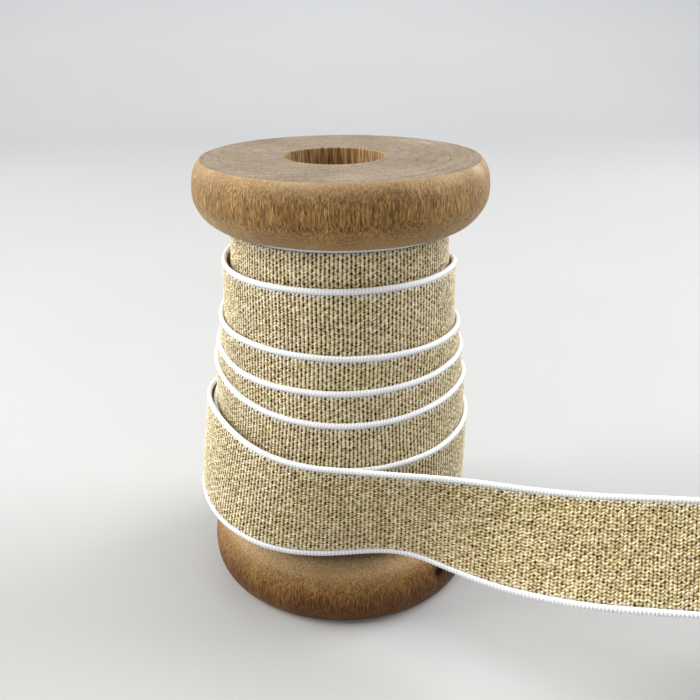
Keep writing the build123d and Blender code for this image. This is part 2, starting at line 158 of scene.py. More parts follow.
def make_mesh(name, verts, faces, uv=None, attributes=None):
    """Smooth mesh object from vertices (mm) and a list of face index arrays; uv is per vertex."""
    mesh = bpy.data.meshes.new(name)
    verts = np.asarray(verts, np.float64) * MM
    loops = np.concatenate([part.ravel() for part in faces])
    sizes = np.concatenate([np.full(len(part), part.shape[1]) for part in faces])
    starts = np.concatenate([[0], np.cumsum(sizes)[:-1]])
    mesh.vertices.add(len(verts))
    mesh.vertices.foreach_set("co", verts.ravel())
    mesh.loops.add(len(loops))
    mesh.loops.foreach_set("vertex_index", loops.astype(np.int32))
    mesh.polygons.add(len(sizes))
    mesh.polygons.foreach_set("loop_start", starts.astype(np.int32))
    mesh.polygons.foreach_set("loop_total", sizes.astype(np.int32))
    mesh.polygons.foreach_set("use_smooth", np.full(len(sizes), True))
    if uv is not None:
        layer = mesh.uv_layers.new(name="weave")
        layer.data.foreach_set("uv", np.asarray(uv, np.float32)[loops].ravel())
    for key, values in (attributes or {}).items():
        values = np.asarray(values, np.float32)
        if values.ndim == 2:
            layer = mesh.attributes.new(key, "FLOAT_VECTOR", "POINT")
            layer.data.foreach_set("vector", values.ravel())
        else:
            mesh.attributes.new(key, "FLOAT", "POINT").data.foreach_set("value", values)
    mesh.update()
    mesh.validate()
    piece = bpy.data.objects.new(name, mesh)
    bpy.context.scene.collection.objects.link(piece)
    return piece


def grid_faces(count_u, count_v, wrap_u=False, wrap_v=False, flip=False, offset=0):
    """Quads of a count_u by count_v vertex grid, index = i * count_v + j."""
    i, j = np.meshgrid(np.arange(count_u if wrap_u else count_u - 1),
                       np.arange(count_v if wrap_v else count_v - 1), indexing="ij")
    i2, j2 = (i + 1) % count_u, (j + 1) % count_v
    quads = np.stack([i * count_v + j, i2 * count_v + j, i2 * count_v + j2, i * count_v + j2], -1)
    quads = quads.reshape(-1, 4)
    if flip:
        quads = quads[:, ::-1]
    return quads + offset


def strip_faces(first, second):
    """Quads joining two equal rows of vertex indices."""
    return np.stack([first[:-1], first[1:], second[1:], second[:-1]], -1)


def flat_uv(u, v):
    return np.stack([u.ravel(), v.ravel()], -1)


def place_on_root(piece, material, slot, *replaced):
    """Give a piece its material and let it ride on the root."""
    piece.data.materials.append(material)
    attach(piece, "root")
    if replaced:
        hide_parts(*replaced)


# ---------------------------------------------------------------------------
# The ribbon's path: upper and lower cord centres along the wound laps and the tail
# ---------------------------------------------------------------------------
KEY_ANGLES = np.array([key[0] * 360.0 + key[1] for key in LAP_KEYS])
LAP_ANGLES = np.arange(-2450.0, -150.0, 15.0)
FIRST_LAP = -6 * 360.0                               # the first lap's front


def smooth_value(angle, column):
    """One column of LAP_KEYS at an angle, averaged over 28 degrees to each side."""
    values = np.array([key[column] for key in LAP_KEYS])
    i = np.arange(-8, 9)
    weight = 1.0 + np.cos(np.pi * i / 9.0)
    return float((weight * np.interp(angle + 3.5 * i, KEY_ANGLES, values)).sum() / weight.sum())


def lap_section(angle):
    """Upper and lower cord centres; the lower one is square to the ribbon's climb."""
    height = smooth_value(angle, 2)
    upper_r = smooth_value(angle, 3)
    lower_r = smooth_value(angle, 4)
    rise = smooth_value(angle + 4, 2) - smooth_value(angle - 4, 2)
    climb = math.atan(rise / math.radians(8.0) / upper_r)
    upper_a = math.radians(angle - 90.0)
    lower_a = upper_a + RIBBON_W * math.sin(climb) / lower_r
    drop = math.sqrt(max((RIBBON_W * math.cos(climb)) ** 2 - (lower_r - upper_r) ** 2, 1.0))
    return (PACK_X + upper_r * math.cos(upper_a), upper_r * math.sin(upper_a), height,
            PACK_X + lower_r * math.cos(lower_a), lower_r * math.sin(lower_a), height - drop)


def cubic_spline(x, y, at):
    """Natural cubic spline through (x, y), y with columns."""
    n = len(x)
    step = np.diff(x)
    matrix = np.zeros((n, n))
    right = np.zeros((n, y.shape[1]))
    matrix[0, 0] = matrix[-1, -1] = 1.0
    for i in range(1, n - 1):
        matrix[i, i - 1] = step[i - 1]
        matrix[i, i] = 2 * (step[i - 1] + step[i])
        matrix[i, i + 1] = step[i]
        right[i] = 6 * ((y[i + 1] - y[i]) / step[i] - (y[i] - y[i - 1]) / step[i - 1])
    curve = np.linalg.solve(matrix, right)
    k = np.clip(np.searchsorted(x, at) - 1, 0, n - 2)
    span = step[k][:, None]
    before = (x[k + 1] - at)[:, None]
    after = (at - x[k])[:, None]
    return (curve[k] * before ** 3 + curve[k + 1] * after ** 3) / (6 * span) \
        + (y[k] / span - curve[k] * span / 6) * before \
        + (y[k + 1] / span - curve[k + 1] * span / 6) * after


def running_length(points):
    return np.concatenate([[0], np.cumsum(np.linalg.norm(np.diff(points, axis=0), axis=1))])


# the spline passes through every second tail station
STATIONS = np.arange(1, len(TAIL_SECTIONS), 2)
knots = np.vstack([np.array([lap_section(angle) for angle in LAP_ANGLES]),
                   TAIL_SECTIONS[STATIONS]])
CHORD = running_length(0.5 * (knots[:, :3] + knots[:, 3:]))
LAP_CHORD, STATION_CHORD = CHORD[:len(LAP_ANGLES)], CHORD[len(LAP_ANGLES):]
FINE = np.linspace(0, CHORD[-1], 6000)
EDGES = cubic_spline(CHORD, knots, FINE)             # upper x, y, z, lower x, y, z
middle = 0.5 * (EDGES[:, :3] + EDGES[:, 3:])
ARC = running_length(middle)                         # length along the ribbon's middle line

forward = np.gradient(middle, ARC, axis=0)
forward /= np.linalg.norm(forward, axis=1)[:, None]
DOWN = EDGES[:, 3:] - EDGES[:, :3]
WIDTH = np.linalg.norm(DOWN, axis=1)
DOWN = DOWN / WIDTH[:, None]
# the ribbon reaches half a cord beyond the cords' centres each way
EDGES[:, :3] -= DOWN * CORD_W / 2
EDGES[:, 3:] += DOWN * CORD_W / 2
WIDTH = WIDTH + CORD_W
OUTWARD = np.cross(forward, -DOWN)
OUTWARD /= np.linalg.norm(OUTWARD, axis=1)[:, None]


def arc_at_station(station):
    return float(np.interp(np.interp(station, STATIONS, STATION_CHORD), FINE, ARC))


def arc_at_angle(angle):
    return float(np.interp(np.interp(angle, LAP_ANGLES, LAP_CHORD), FINE, ARC))


def ribbon_frame(arc):
    """Upper edge point, directions down, outward and along, and the width at arc lengths."""
    upper, down, outward = (
        np.stack([np.interp(arc, ARC, table[:, axis]) for axis in range(3)], -1)
        for table in (EDGES, DOWN, OUTWARD))
    return upper, down, outward, np.cross(-down, outward), np.interp(arc, ARC, WIDTH)


# Column pitch of the weave: the wound laps are stretched a little, the end of the tail is not.
PITCH_ARCS = [0, arc_at_angle(-170.0)] + [arc_at_station(i) for i in (12, 30, 38, 44)] + [ARC[-1]]
COLUMN_PITCHES = np.array([0.70, 0.70, 0.68, 0.68, 0.64, 0.57, 0.57])
rate = np.interp(ARC, PITCH_ARCS, 1 / COLUMN_PITCHES)
COLUMNS = np.concatenate([[0], np.cumsum(0.5 * (rate[1:] + rate[:-1]) * np.diff(ARC))])


def arc_at_column(column):
    return np.interp(column, COLUMNS, ARC)


def column_at_arc(arc):
    return float(np.interp(arc, ARC, COLUMNS))


# the weave goes from tight to slack between these columns
SLACK_COLUMNS = [column_at_arc(arc_at_station(i)) for i in (12, 32)]
FLANGE_FADE = arc_at_angle(FIRST_LAP), arc_at_angle(FIRST_LAP + 90.0)


def under_flange(arc):
    """1 where the ribbon's start is pressed under the top flange, fading to 0 over the first
    lap's front right quarter."""
    begin, end = FLANGE_FADE
    part = np.clip((arc - begin) / (end - begin), 0, 1)
    return 1 - part * part * (3 - 2 * part)


# ---------------------------------------------------------------------------
# Woven band
# ---------------------------------------------------------------------------
def weave(column, row, seed=3):
    """Relief 0..1.2 of the weave at (column, half row), and a tone 0..1 for each bead.
    Each column is a chain of short slanting beads; small staggered holes lie between columns."""
    index = np.floor(column + 1e-6)
    across = np.clip(column - index, 0, 1)
    # in the slack tail the columns close up and the beads stand apart
    slack = np.interp(column, SLACK_COLUMNS, [0.0, 1.0])
    # beads slant the other way in every other column, and each column is shifted a little
    side = np.where(np.mod(index, 2) > 0.5, 1.0, -1.0)
    chain = row + (across - 0.5) * (0.75 - 0.30 * slack) * side + 0.5 * hash01(index, 0, seed + 9)
    bead = np.floor(chain)
    # creases between beads, of uneven depth
    crease = np.abs(2 * (chain - bead) - 1) ** 2.0 \
        * (0.30 + 0.14 * slack + 0.44 * hash01(index, bead, seed + 1))
    rope = np.sin(np.pi * across) ** 0.65
    tone = hash01(index, bead, seed + 6)
    full = (0.82 + 0.34 * tone) * (1 - 0.16 * slack)
    # oval holes on the lines between columns, jittered along the line and of uneven depth
    line = np.floor(column + 0.5)
    hole_u = column - line
    slot_row = (row - np.mod(line, 2) - 0.5) / 2
    slot = np.floor(slot_row + 0.5)
    jitter = (hash01(line, slot, seed + 3) - 0.5) * 0.75
    hole_v = (slot_row - slot) * 2 - jitter
    hole = np.clip(1.15 - (hole_u / (0.40 + 0.10 * slack)) ** 2
                   - (hole_v / (0.62 - 0.10 * slack)) ** 2, 0, 1) \
        * (0.30 + 0.70 * hash01(line, slot, seed + 4)) * (1 - 0.25 * slack)
    # level of the valley between columns
    gap = 0.36 + 0.26 * slack + 0.16 * hash01(line, np.floor(row * 0.7), seed + 5)
    height = (gap + (1 - gap) * rope) * full * (1 - crease) - 0.50 * hole
    return np.clip(height, 0, 1.2), tone


def woven_back(C, R, base, outward, swell, tuck):
    """Beaded inner face and the four sides that join it to the outer one."""
    relief, tone = weave(C + 1.0, R, seed=15)
    depth = -0.46 - 0.18 * relief * (0.3 + 0.7 * tuck) + swell
    inner = base + outward[:, None, :] * depth[..., None]
    grid = np.arange(C.size).reshape(C.shape)
    faces = [grid_faces(*C.shape, offset=C.size)]
    for side, turn in ((grid[:, 0], False), (grid[:, -1], True), (grid[0, :], True),
                       (grid[-1, :], False)):
        quads = strip_faces(side, side + C.size)
        faces.append(quads[:, ::-1] if turn else quads)
    return inner.reshape(-1, 3), flat_uv(C + 1.0, R), relief.ravel(), tone.ravel(), faces


def flat_back(C, base, outward):
    """Flat inner face, one quad across, with sides and ends that share the outer grid's rim."""
    count_u, count_v = C.shape
    inner = np.concatenate([base[:, j, :] + outward * (-BAND_T - 0.13) for j in (0, count_v - 1)])
    uv = np.stack([np.tile(C[:, 0], 2), np.repeat([0, ROWS], count_u)], -1)
    grid = np.arange(C.size).reshape(C.shape)
    upper = C.size + np.arange(count_u)
    lower = C.size + count_u + np.arange(count_u)
    faces = [strip_faces(upper, lower),
             strip_faces(grid[:, 0], upper),
             strip_faces(grid[:, -1], lower)[:, ::-1]]
    for i in (0, count_u - 1):                       # ends, as triangle fans
        ring = grid[i, :]
        fan = [[ring[j], ring[j + 1], upper[i]] for j in range(count_v - 1)]
        fan = np.array(fan + [[ring[-1], lower[i], upper[i]]])
        faces.append(fan if i else fan[:, ::-1])
    half = np.full(2 * count_u, 0.5)
    return inner, uv, half, half, faces


def band_piece(name, first, last, both_sides=False, fine_rows=ROWS):
    """Closed woven band between two columns, beaded outside and, if both_sides, inside.
    Below fine_rows the lap lies under the next one and is sampled more coarsely."""
    count_u = int(last - first) * COLUMN_STEPS + 1
    columns = np.linspace(first, last, count_u)
    rows = np.linspace(0, fine_rows, fine_rows * ROW_STEPS + 1)
    if fine_rows < ROWS:
        rows = np.concatenate([rows, np.arange(fine_rows + 2, ROWS + 1, 2.0)])
        rows[-1] = ROWS
    C, R = np.meshgrid(columns, rows, indexing="ij")
    points = flat_uv(C, R)
    # the threads wander in the plane of the band, less so near its rim
    sway_u = 0.20 * smooth_noise(points * [1, 0.7], 5.0, 11).reshape(C.shape)
    sway_v = 0.14 * smooth_noise(points * [1, 0.7], 4.0, 12).reshape(C.shape)
    fade_u = np.minimum(1.0, np.minimum(C - first, last - C) / 3.0)
    fade_v = np.sin(np.pi * np.clip(R / ROWS, 0, 1))
    arc = arc_at_column(columns)
    upper, down, outward, along, width = ribbon_frame(arc)
    # under the flange the band reaches further up beneath its cord
    begin = (CORD_W - CORD_OVERLAP - 0.30 * under_flange(arc))[:, None]
    drop = begin + (width[:, None] - begin - (CORD_W - CORD_OVERLAP)) * R / ROWS
    drop = drop + sway_v * 0.9 * fade_v
    relief, tone = weave(C, R)
    # beads sink at the very edge, where they pass under the cord
    tuck = np.clip(np.minimum(R, ROWS - R) / 0.7, 0, 1)
    puff = 0.06 * smooth_noise(points * [1, 0.6], 9.0, 21).reshape(C.shape)
    swell = puff * fade_v * 0.5
    height = -0.37 + 0.25 * relief * (0.3 + 0.7 * tuck) + swell
    base = upper[:, None, :] + down[:, None, :] * drop[..., None] \
        + along[:, None, :] * (sway_u * fade_u * fade_v * 0.6)[..., None]
    outer = base + outward[:, None, :] * height[..., None]
    if both_sides:
        back = woven_back(C, R, base, outward, swell, tuck)
    else:
        back = flat_back(C, base, outward)
    inner, inner_uv, inner_relief, inner_tone, faces = back
    return make_mesh(name, np.concatenate([outer.reshape(-1, 3), inner]),
                     [grid_faces(*C.shape, flip=True)] + faces,
                     uv=np.concatenate([points, inner_uv]),
                     attributes={"bead": np.concatenate([relief.ravel(), inner_relief]),
                                 "tone": np.concatenate([tone.ravel(), inner_tone])})


# ---------------------------------------------------------------------------
# Ribbed cord
# ---------------------------------------------------------------------------
RIB_PITCH = 0.58
RIB_STEPS, CORD_SIDES = 5, 10                 # samples per rib and round the cord
CORD_HALF_W, CORD_HALF_T = 0.51, 0.43         # half sizes across the ribbon and through it
CORD_DEPTH = 0.50                             # centre below the ribbon's outer side
CORD_ANGLES = np.arange(CORD_SIDES) / CORD_SIDES * 2 * np.pi


def rib_wave(phase, around):
    """Rib profile, -1.1 in the grooves to 0.9, sloping slightly round the cord."""
    return np.abs(np.sin(0.5 * (phase + np.cos(around)))) ** 0.7 * 2 - 1.1


def rib_swell(rib, wave, edge_side):
    """Ribs stand out most on the ribbon's very edge."""
    return rib * wave * (0.55 + 0.75 * np.clip(edge_side, 0, 1))


def cord_piece(name, begin, end, rib, seed, lower=False):
    """White cord along one edge of the ribbon between two arc lengths, closed at both ends."""
    steps = max(8, int(round((end - begin) / RIB_PITCH * RIB_STEPS)))
    arc = np.linspace(begin, end, steps + 1)
    upper, down, outward, along, width = ribbon_frame(arc)
    centre = (width - CORD_W / 2) if lower else np.full(steps + 1, CORD_W / 2)
    A, S = np.meshgrid(CORD_ANGLES, arc)
    sine, cosine = np.sin(A), np.cos(A)
    wave = rib_wave(2 * np.pi * S / RIB_PITCH, A)
    ribs = rib_swell(rib, wave, sine)
    spots = np.stack([S.ravel() / 1.7, cosine.ravel() * 1.3], -1)
    uneven = 0.020 * smooth_noise(spots, 1.0, seed).reshape(S.shape)
    # under the flange the upper cord sits deeper and is squeezed thinner
    tuck = np.zeros(steps + 1) if lower else under_flange(arc)
    half_w = (CORD_HALF_W + ribs + uneven) * (1 - 0.24 * tuck)[:, None]
    half_t = (CORD_HALF_T + 0.6 * ribs + uneven) * (1 - 0.20 * tuck)[:, None]
    side = 1.0 if lower else -1.0
    across = side * half_w * sine
    lift = -CORD_DEPTH - 0.20 * tuck[:, None] + half_t * cosine
    wander = 0.05 * smooth_noise(np.stack([arc, arc * 0], -1), 6.0, seed + 1) * (1 - tuck) \
        - 0.13 * tuck
    P = upper[:, None, :] \
        + down[:, None, :] * (centre[:, None] + across + wander[:, None])[..., None] \
        + outward[:, None, :] * lift[..., None] + along[:, None, :] * (0.06 * sine)[..., None]
    verts = np.concatenate([P.reshape(-1, 3), [P[0].mean(0), P[-1].mean(0)]])
    start_ring = np.arange(CORD_SIDES)
    end_ring = steps * CORD_SIDES + start_ring
    tip = P.shape[0] * CORD_SIDES
    start_cap = np.stack([start_ring, np.roll(start_ring, -1), np.full(CORD_SIDES, tip)], -1)
    end_cap = np.stack([np.roll(end_ring, -1), end_ring, np.full(CORD_SIDES, tip + 1)], -1)
    if not lower:
        start_cap, end_cap = start_cap[:, ::-1], end_cap[:, ::-1]
    faces = [grid_faces(steps + 1, CORD_SIDES, wrap_v=True, flip=not lower), start_cap, end_cap]
    uv = np.concatenate([flat_uv(S / RIB_PITCH, A / (2 * np.pi)),
                         [[begin / RIB_PITCH, 0.5], [end / RIB_PITCH, 0.5]]])
    depth = np.concatenate([(wave + 1.1).ravel() / 2.0, [0.5, 0.5]])
    upward = np.concatenate([(-side * sine - (0.5 if lower else 0.0)).ravel(), [0.0, 0.0]])
    return make_mesh(name, verts, faces, uv=uv, attributes={"rib": depth, "upward": upward})


def ring_cord(name, radius, height, rib):
    """White cord closed in a level ring about the wound laps' axis."""
    steps = int(round(2 * math.pi * radius / RIB_PITCH)) * RIB_STEPS
    turn = np.arange(steps) / steps * 2 * np.pi
    S, A = np.meshgrid(turn * radius, CORD_ANGLES, indexing="ij")
    wave = rib_wave(np.arange(steps)[:, None] / RIB_STEPS * 2 * np.pi, A)
    ribs = rib_swell(rib, wave, -np.sin(A))
    r = radius - CORD_DEPTH + (CORD_HALF_T + 0.6 * ribs) * np.cos(A)
    z = height + (CORD_HALF_W + ribs) * np.sin(A)
    P = np.stack([PACK_X + r * np.cos(turn)[:, None], r * np.sin(turn)[:, None], z], -1)
    faces = [grid_faces(steps, CORD_SIDES, wrap_u=True, wrap_v=True, flip=True)]
    return make_mesh(name, P.reshape(-1, 3), faces,
                     uv=flat_uv(S / RIB_PITCH, A / (2 * np.pi)),
                     attributes={"rib": (wave + 1.1).ravel() / 2, "upward": np.sin(A).ravel()})


# ---------------------------------------------------------------------------
# Materials
# ---------------------------------------------------------------------------
class Shader:
    """A material with a Principled surface, and short calls that add its nodes."""

    INPUTS = {"color": "Base Color", "rough": "Roughness", "metal": "Metallic",
              "normal": "Normal", "spec": "Specular IOR Level", "sheen": "Sheen Weight",
              "sheen_rough": "Sheen Roughness", "sheen_tint": "Sheen Tint",
              "glow": "Emission Strength", "glow_color": "Emission Color"}

    def __init__(self, name):
        self.mat = bpy.data.materials.new(name)
        self.mat.use_nodes = True
        self.tree = self.mat.node_tree
        self.tree.nodes.clear()
        out = self.new("ShaderNodeOutputMaterial")
        self.bsdf = self.new("ShaderNodeBsdfPrincipled")
        self.feed(out.inputs["Surface"], self.bsdf.outputs[0])

    def new(self, kind, **props):
        node = self.tree.nodes.new(kind)
        for key, value in props.items():
            setattr(node, key, value)
        return node

    def feed(self, socket, value):
        """Link a socket to another, or set its value."""
        if isinstance(value, bpy.types.NodeSocket):
            self.tree.links.new(value, socket)
        elif socket.type == "RGBA":
            socket.default_value = (*value, 1.0)
        else:
            socket.default_value = value

    def surface(self, **inputs):
        for key, value in inputs.items():
            self.feed(self.bsdf.inputs[self.INPUTS[key]], value)
        return self.mat

    def coords(self):
        return self.new("ShaderNodeTexCoord").outputs["Object"]

    def weave_uv(self):
        return self.new("ShaderNodeUVMap", uv_map="weave").outputs[0]

    def attr(self, name, output="Fac"):
        return self.new("ShaderNodeAttribute", attribute_name=name).outputs[output]

    def xyz(self, vector):
        node = self.new("ShaderNodeSeparateXYZ")
        self.feed(node.inputs[0], vector)
        return node.outputs

    def combine(self, *parts):
        node = self.new("ShaderNodeCombineXYZ")
        for socket, part in zip(node.inputs, parts):
            self.feed(socket, part)
        return node.outputs[0]

    def length(self, vector):
        node = self.new("ShaderNodeVectorMath", operation="LENGTH")
        self.feed(node.inputs[0], vector)
        return node.outputs["Value"]

    def math(self, operation, *values):
        node = self.new("ShaderNodeMath", operation=operation)
        for socket, value in zip(node.inputs, values):
            self.feed(socket, value)
        return node.outputs[0]

    def plus(self, value, other):
        return self.math("ADD", value, other)

    def minus(self, value, other):
        return self.math("SUBTRACT", value, other)

    def times(self, value, by):
        return self.math("MULTIPLY", value, by)

    def swing(self, value, by):
        """A 0..1 value centred on zero, then scaled."""
        return self.times(self.minus(value, 0.5), by=by)

    def fade(self, value, between=(0.0, 1.0), to=(0.0, 1.0)):
        """Clamped straight-line change from to[0] to to[1] as value crosses between."""
        node = self.new("ShaderNodeMapRange", clamp=True)
        self.feed(node.inputs["Value"], value)
        for key, number in zip(("From Min", "From Max", "To Min", "To Max"), between + to):
            self.feed(node.inputs[key], number)
        return node.outputs[0]

    def ramp(self, value, stops):
        """Colours at positions 0..1."""
        node = self.new("ShaderNodeValToRGB")
        elements = node.color_ramp.elements
        while len(elements) < len(stops):
            elements.new(0.5)
        for element, (position, color) in zip(elements, stops):
            element.position = position
            element.color = (*color, 1.0)
        self.feed(node.inputs[0], value)
        return node.outputs["Color"]

    def noise(self, at, detail, rough, stretch=None, shift=(0, 0, 0), scale=1.0, output="Fac"):
        """Noise, finer along an axis the larger its stretch."""
        if stretch:
            mapping = self.new("ShaderNodeMapping")
            self.feed(mapping.inputs["Vector"], at)
            mapping.inputs["Scale"].default_value = stretch
            mapping.inputs["Location"].default_value = shift
            at = mapping.outputs[0]
        node = self.new("ShaderNodeTexNoise")
        self.feed(node.inputs["Vector"], at)
        node.inputs["Scale"].default_value = scale
        node.inputs["Detail"].default_value = detail
        node.inputs["Roughness"].default_value = rough
        return node.outputs[output]

    def mix(self, amount, base, over, mode="MIX"):
        node = self.new("ShaderNodeMix", data_type="RGBA", blend_type=mode)
        for index, value in ((0, amount), (6, base), (7, over)):
            self.feed(node.inputs[index], value)
        return node.outputs[2]

    def tint(self, base, by):
        return self.mix(1.0, base, by, mode="MULTIPLY")

    def bump(self, height, strength, distance):
        node = self.new("ShaderNodeBump")
        node.inputs["Strength"].default_value = strength
        node.inputs["Distance"].default_value = distance
        self.feed(node.inputs["Height"], height)
        return node.outputs[0]


def gold_material():
    """Gold weave: cream-gold beads in columns, olive gaps, small brown holes, tinted beads, with
    painted shade in the gaps and holes and a painted highlight on the bead tops.
    """
    mat = Shader("gold_weave")
    uv = mat.weave_uv()
    u, v, _ = mat.xyz(uv)
    relief = mat.attr("bead")
    tone = mat.attr("tone")
    # a random value for each cell of about one bead
    cell = mat.combine(mat.math("FLOOR", u), mat.math("FLOOR", mat.times(v, by=0.9)))
    white = mat.new("ShaderNodeTexWhiteNoise", noise_dimensions="3D")
    mat.feed(white.inputs["Vector"], cell)
    chance = white.outputs["Value"]
    # fine filaments, and a coarser unevenness of the yarns
    fibre = mat.noise(uv, stretch=(3.1, 3.6, 1.0), detail=2.0, rough=0.65)
    tuft = mat.noise(uv, stretch=(1.1, 0.9, 1.0), shift=(3.3, 7.7, 0), detail=1.0, rough=0.5)
    height = mat.plus(relief, mat.swing(fibre, by=0.62))
    height = mat.plus(height, mat.swing(tuft, by=0.40))
    # holes, gaps, bead sides, beads, bead tops; the dark holes and gaps are partly painted shade,
    # and the pale bead tops partly a painted highlight
    color = mat.ramp(height, [
        (0.04, (0.024, 0.012, 0.002)), (0.24, (0.100, 0.064, 0.015)),
        (0.42, (0.295, 0.225, 0.090)), (0.62, (0.555, 0.455, 0.275)), (0.90, (0.94, 0.86, 0.70))])
    # tint from pinkish to yellow-green, by bead and by broad patch
    patch = mat.noise(uv, stretch=(0.11, 0.09, 1.0), detail=3.0, rough=0.6)
    by_bead = mat.times(mat.times(mat.plus(tone, chance), by=0.5), by=0.60)
    tints = mat.ramp(mat.plus(by_bead, mat.times(patch, by=0.6)), [
        (0.26, (1.06, 0.94, 0.92)), (0.46, (1.0, 0.975, 0.98)),
        (0.64, (1.0, 0.985, 0.88)), (0.86, (0.98, 0.985, 0.75))])
    color = mat.tint(color, by=tints)
    # the cord's white stitches reach into the first rows of the band
    rim = mat.math("MINIMUM", v, mat.minus(float(ROWS), v))
    stitch = mat.times(mat.fade(rim, between=(0.2, 1.9), to=(1.0, 0.0)),
                       by=mat.fade(height, between=(0.35, 0.8), to=(0.0, 0.75)))
    color = mat.mix(stitch, color, over=(0.76, 0.73, 0.63))
    # broad, faint dulling
    dull = mat.noise(uv, stretch=(0.035, 0.03, 1.0), detail=2.0, rough=0.5)
    color = mat.mix(mat.fade(dull, between=(0.35, 0.65), to=(0.0, 0.22)), color,
                    over=mat.tint(color, by=(0.86, 0.82, 0.74)))
    metal = mat.fade(mat.plus(height, mat.times(chance, by=0.5)),
                     between=(0.6, 1.4), to=(0.0, 0.42))
    # every bead leans its own way, so some glint
    lean = mat.swing(mat.math("FRACT", u), by=mat.minus(chance, 0.5))
    normal = mat.bump(mat.plus(height, mat.times(lean, by=0.9)), strength=0.9, distance=0.00013)
    return mat.surface(color=color, metal=metal, rough=mat.fade(chance, to=(0.28, 0.50)),
                       normal=normal, spec=mat.fade(height, between=(0.25, 0.75), to=(0.04, 0.50)))


def cord_material():
    """White ribbed cord: slightly cool white yarn, painted shade grey in the grooves, fine fibres,
    and painted shade on its lower side.
    """
    mat = Shader("white_cord")
    uv = mat.weave_uv()
    rib = mat.attr("rib")
    fibre = mat.noise(uv, stretch=(3.0, 12.0, 1.0), detail=3.0, rough=0.65)
    dirt = mat.noise(mat.coords(), scale=160.0, detail=3.0, rough=0.6)
    # groove, flank, crest; the grey in the grooves is painted shade
    color = mat.ramp(rib, [(0.05, (0.46, 0.455, 0.47)), (0.35, (0.74, 0.74, 0.755)),
                           (0.75, (0.94, 0.942, 0.95))])
    color = mat.mix(mat.fade(fibre, between=(0.35, 0.75), to=(0.0, 0.25)), color,
                    over=(0.64, 0.64, 0.64))
    color = mat.mix(mat.fade(dirt, between=(0.5, 0.8), to=(0.0, 0.16)), color,
                    over=(0.70, 0.66, 0.56))
    # painted shade: the cord's lower side is darkened and cooled, as if turned away from the light
    color = mat.mix(mat.fade(mat.attr("upward"), between=(-0.65, 0.45), to=(0.85, 0.0)), color,
                    over=mat.tint(color, by=(0.77, 0.77, 0.82)))
    height = mat.plus(mat.times(rib, by=0.7), mat.times(fibre, by=0.5))
    return mat.surface(color=color, rough=mat.fade(fibre, to=(0.55, 0.80)),
                       normal=mat.bump(height, strength=0.6, distance=0.00008),
                       sheen=0.1, sheen_rough=0.4, spec=0.2)


def side_grain(mat, raw, slope):
    """Turned sides, fibres along z: colour, brightness, dark vessels and the finest fibres."""
    # the fibres wander a little
    bend = mat.noise(raw, scale=45.0, detail=2.0, rough=0.5, output="Color")
    shifted = mat.new("ShaderNodeVectorMath", operation="MULTIPLY_ADD")
    for socket, value in zip(shifted.inputs, (bend, (0.0024, 0.0024, 0.0024), raw)):
        mat.feed(socket, value)
    pos = shifted.outputs[0]
    fine = mat.noise(pos, stretch=(6200, 6200, 640), detail=2.0, rough=0.7)
    medium = mat.noise(pos, stretch=(3000, 3000, 290), detail=3.0, rough=0.65)
    broad = mat.noise(pos, stretch=(190, 190, 30), detail=4.0, rough=0.6)
    vessel = mat.noise(pos, stretch=(5400, 5400, 420), shift=(3.1, 1.7, 9.0),
                       detail=1.0, rough=0.5)
    wide_vessel = mat.noise(pos, stretch=(3600, 3600, 240), shift=(8.1, 4.7, 3.0),
                            detail=1.0, rough=0.5)
    streak = mat.math("MAXIMUM", mat.fade(vessel, between=(0.56, 0.64)),
                      mat.fade(wide_vessel, between=(0.62, 0.70), to=(0.0, 0.8)))
    fleck = mat.fade(mat.noise(pos, stretch=(5200, 5200, 900), shift=(9.1, 4.7, 2.0),
                               detail=1.0, rough=0.5), between=(0.57, 0.68))
    value = mat.plus(mat.times(fine, by=0.50), mat.times(medium, by=0.50))
    value = mat.fade(mat.plus(value, mat.times(broad, by=0.30)), between=(0.46, 0.84))
    # from dark fibres to light ones
    color = mat.ramp(value, [
        (0.0, (0.078, 0.027, 0.003)), (0.30, (0.158, 0.072, 0.014)),
        (0.52, (0.262, 0.138, 0.034)), (0.75, (0.375, 0.220, 0.070)), (1.0, (0.54, 0.36, 0.145))])
    color = mat.mix(mat.times(streak, by=mat.fade(slope, to=(0.85, 0.35))), color,
                    over=(0.062, 0.023, 0.004))
    color = mat.mix(mat.times(fleck, by=mat.fade(slope, to=(0.40, 0.65))), color,
                    over=(0.50, 0.345, 0.165))
    # painted light in part: the rim is lightened where it slopes up towards the face, as well as for
    # its obliquely cut grain
    color = mat.mix(mat.times(slope, by=0.36), color, over=(0.37, 0.240, 0.110))
    return color, value, streak, fine


